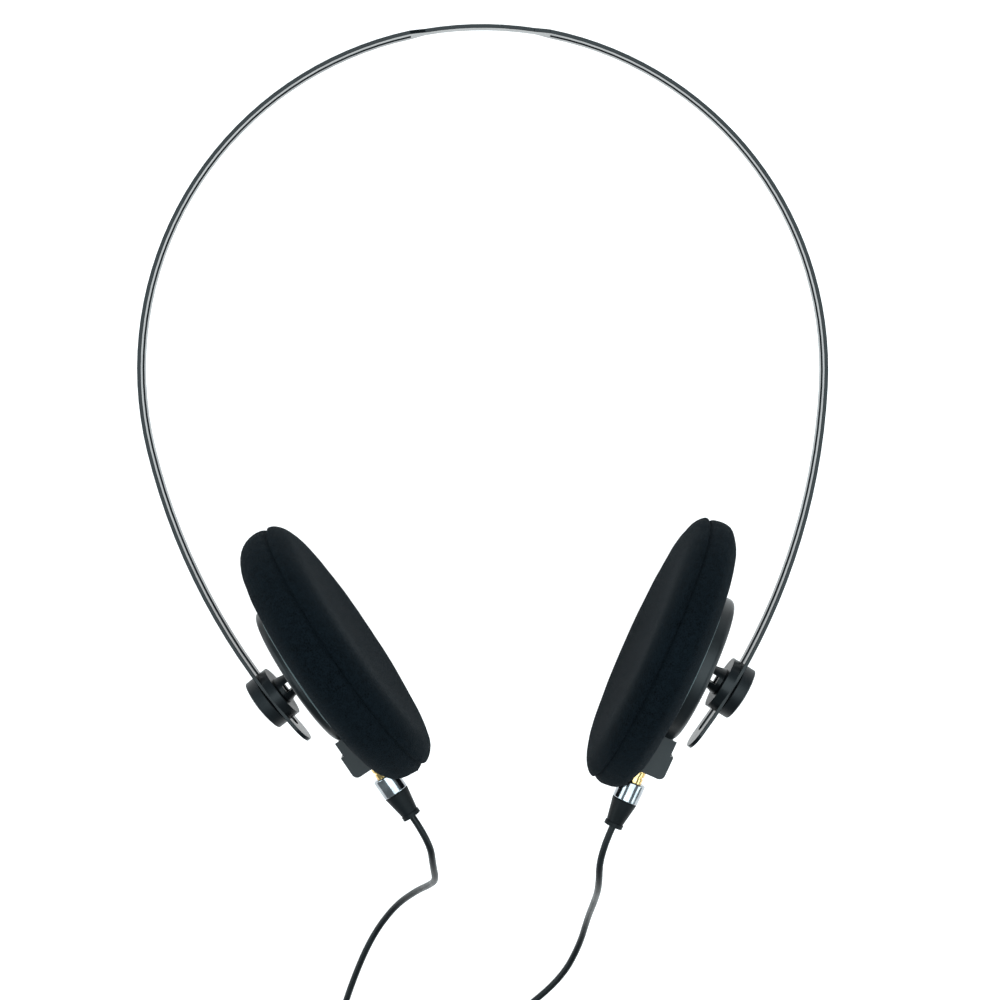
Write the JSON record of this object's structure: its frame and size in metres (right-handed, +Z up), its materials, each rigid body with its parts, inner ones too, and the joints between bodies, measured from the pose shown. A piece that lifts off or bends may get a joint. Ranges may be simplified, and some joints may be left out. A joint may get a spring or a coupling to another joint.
{
  "type": "radio headphones",
  "caption": "Light open-back stereo headphones with slotted spring headband, foam ear pads on ball-jointed sliders and a detachable lead plugged into both cups.",
  "frame": {"origin": "centre of the footprint of the headset without its lead, on the surface it lies on", "axes": "+X towards the earpiece on the right, +Y from the earpieces towards the top of the headband, +Z up from the surface"},
  "size_m": [0.1444, 0.2902, 0.0621],
  "materials": {
    "band_steel": "gloss black lacquer on spring steel",
    "knob_plastic": "satin black moulding",
    "post_plastic": "gloss black moulding",
    "screw_steel": "plain steel",
    "liner_plastic": "natural acetal",
    "housing_plastic": "satin black moulding",
    "baffle_plastic": "matt black moulding",
    "grille_steel": "matt black",
    "cloth": "thin woven damping cloth",
    "diaphragm_film": "thin formed film",
    "copper": "enamelled copper winding",
    "yoke_steel": "plated steel",
    "magnet_alloy": "nickel plated",
    "cushion_foam": "closed-cell foam ring",
    "foam": "open-cell foam, fine grain",
    "contact_metal": "plated contact metal",
    "plug_gold": "polished gold plate",
    "plug_chrome": "polished chrome plate",
    "boot_rubber": "matt black moulding",
    "cord_vinyl": "soft vinyl, slight sheen",
    "tie_plastic": "black plastic-coated strap"
  },
  "bodies": {
    "headband": {"headband": "band_steel", "left_branch_cord": "cord_vinyl", "right_branch_cord": "cord_vinyl", "branch_coil": "cord_vinyl", "branch_tie": "tie_plastic", "splitter": "boot_rubber", "lead_cord": "cord_vinyl", "lead_coil": "cord_vinyl", "lead_tie": "tie_plastic", "lead_plug_pin": "plug_gold", "lead_plug_barrel": "plug_chrome", "lead_plug_boot": "boot_rubber"},
    "left_slider": {"left_slider_knob": "knob_plastic", "left_slider_post": "post_plastic", "left_slider_screw": "screw_steel"},
    "left_liner": {"left_ball_liner": "liner_plastic"},
    "left_cup": {"left_rear_housing": "housing_plastic", "left_housing_screws": "screw_steel", "left_baffle": "baffle_plastic", "left_grille": "grille_steel", "left_damping_cloth": "cloth", "left_diaphragm": "diaphragm_film", "left_voice_coil": "copper", "left_driver_frame": "baffle_plastic", "left_pole_plate": "yoke_steel", "left_magnet": "magnet_alloy", "left_yoke": "yoke_steel", "left_driver_cushion": "cushion_foam", "left_foam_pad": "foam", "left_jack_block": "housing_plastic", "left_jack_bushing": "contact_metal", "left_jack_contacts": "contact_metal"},
    "left_plug": {"left_plug_pin": "plug_gold", "left_plug_barrel": "plug_chrome", "left_plug_boot": "boot_rubber"},
    "right_slider": {"right_slider_knob": "knob_plastic", "right_slider_post": "post_plastic", "right_slider_screw": "screw_steel"},
    "right_liner": {"right_ball_liner": "liner_plastic"},
    "right_cup": {"right_rear_housing": "housing_plastic", "right_housing_screws": "screw_steel", "right_baffle": "baffle_plastic", "right_grille": "grille_steel", "right_damping_cloth": "cloth", "right_diaphragm": "diaphragm_film", "right_voice_coil": "copper", "right_driver_frame": "baffle_plastic", "right_pole_plate": "yoke_steel", "right_magnet": "magnet_alloy", "right_yoke": "yoke_steel", "right_driver_cushion": "cushion_foam", "right_foam_pad": "foam", "right_jack_block": "housing_plastic", "right_jack_bushing": "contact_metal", "right_jack_contacts": "contact_metal"},
    "right_plug": {"right_plug_pin": "plug_gold", "right_plug_barrel": "plug_chrome", "right_plug_boot": "boot_rubber"}
  },
  "joints": [
    {"name": "left_slide_along_band", "type": "hinge", "parent": "headband", "child": "left_slider", "pos_m": [0.06182, 0.02161, 0.01718], "axis": [0, -0.2068, -0.9784], "range_deg": [-2.5, 8]},
    {"name": "left_cup_nod", "type": "hinge", "parent": "left_slider", "child": "left_liner", "pos_m": [-0.04452, -0.04596, 0.03147], "axis": [0, 0.2068, 0.9784], "range_deg": [-7.5, 16.5]},
    {"name": "left_cup_swivel", "type": "hinge", "parent": "left_liner", "child": "left_cup", "pos_m": [-0.04452, -0.04596, 0.03147], "axis": [-0.4772, 0.8598, -0.1817], "range_deg": [-8, 8], "deforming": ["left_branch_cord"]},
    {"name": "left_plug_pull", "type": "slide", "parent": "left_cup", "child": "left_plug", "axis": [0.4772, -0.8598, 0.1817], "range_m": [-0.003, 0.011]},
    {"name": "right_slide_along_band", "type": "hinge", "parent": "headband", "child": "right_slider", "pos_m": [-0.06182, 0.02161, 0.01718], "axis": [0, 0.2068, 0.9784], "range_deg": [-4, 5.5]},
    {"name": "right_cup_nod", "type": "hinge", "parent": "right_slider", "child": "right_liner", "pos_m": [0.03997, -0.05236, 0.03282], "axis": [0, -0.2068, -0.9784], "range_deg": [-5, 18.5]},
    {"name": "right_cup_swivel", "type": "hinge", "parent": "right_liner", "child": "right_cup", "pos_m": [0.03997, -0.05236, 0.03282], "axis": [0.4955, 0.8499, -0.1796], "range_deg": [-8, 8], "deforming": ["right_branch_cord"]},
    {"name": "right_plug_pull", "type": "slide", "parent": "right_cup", "child": "right_plug", "axis": [-0.4955, -0.8499, 0.1796], "range_m": [-0.003, 0.011]}
  ]
}
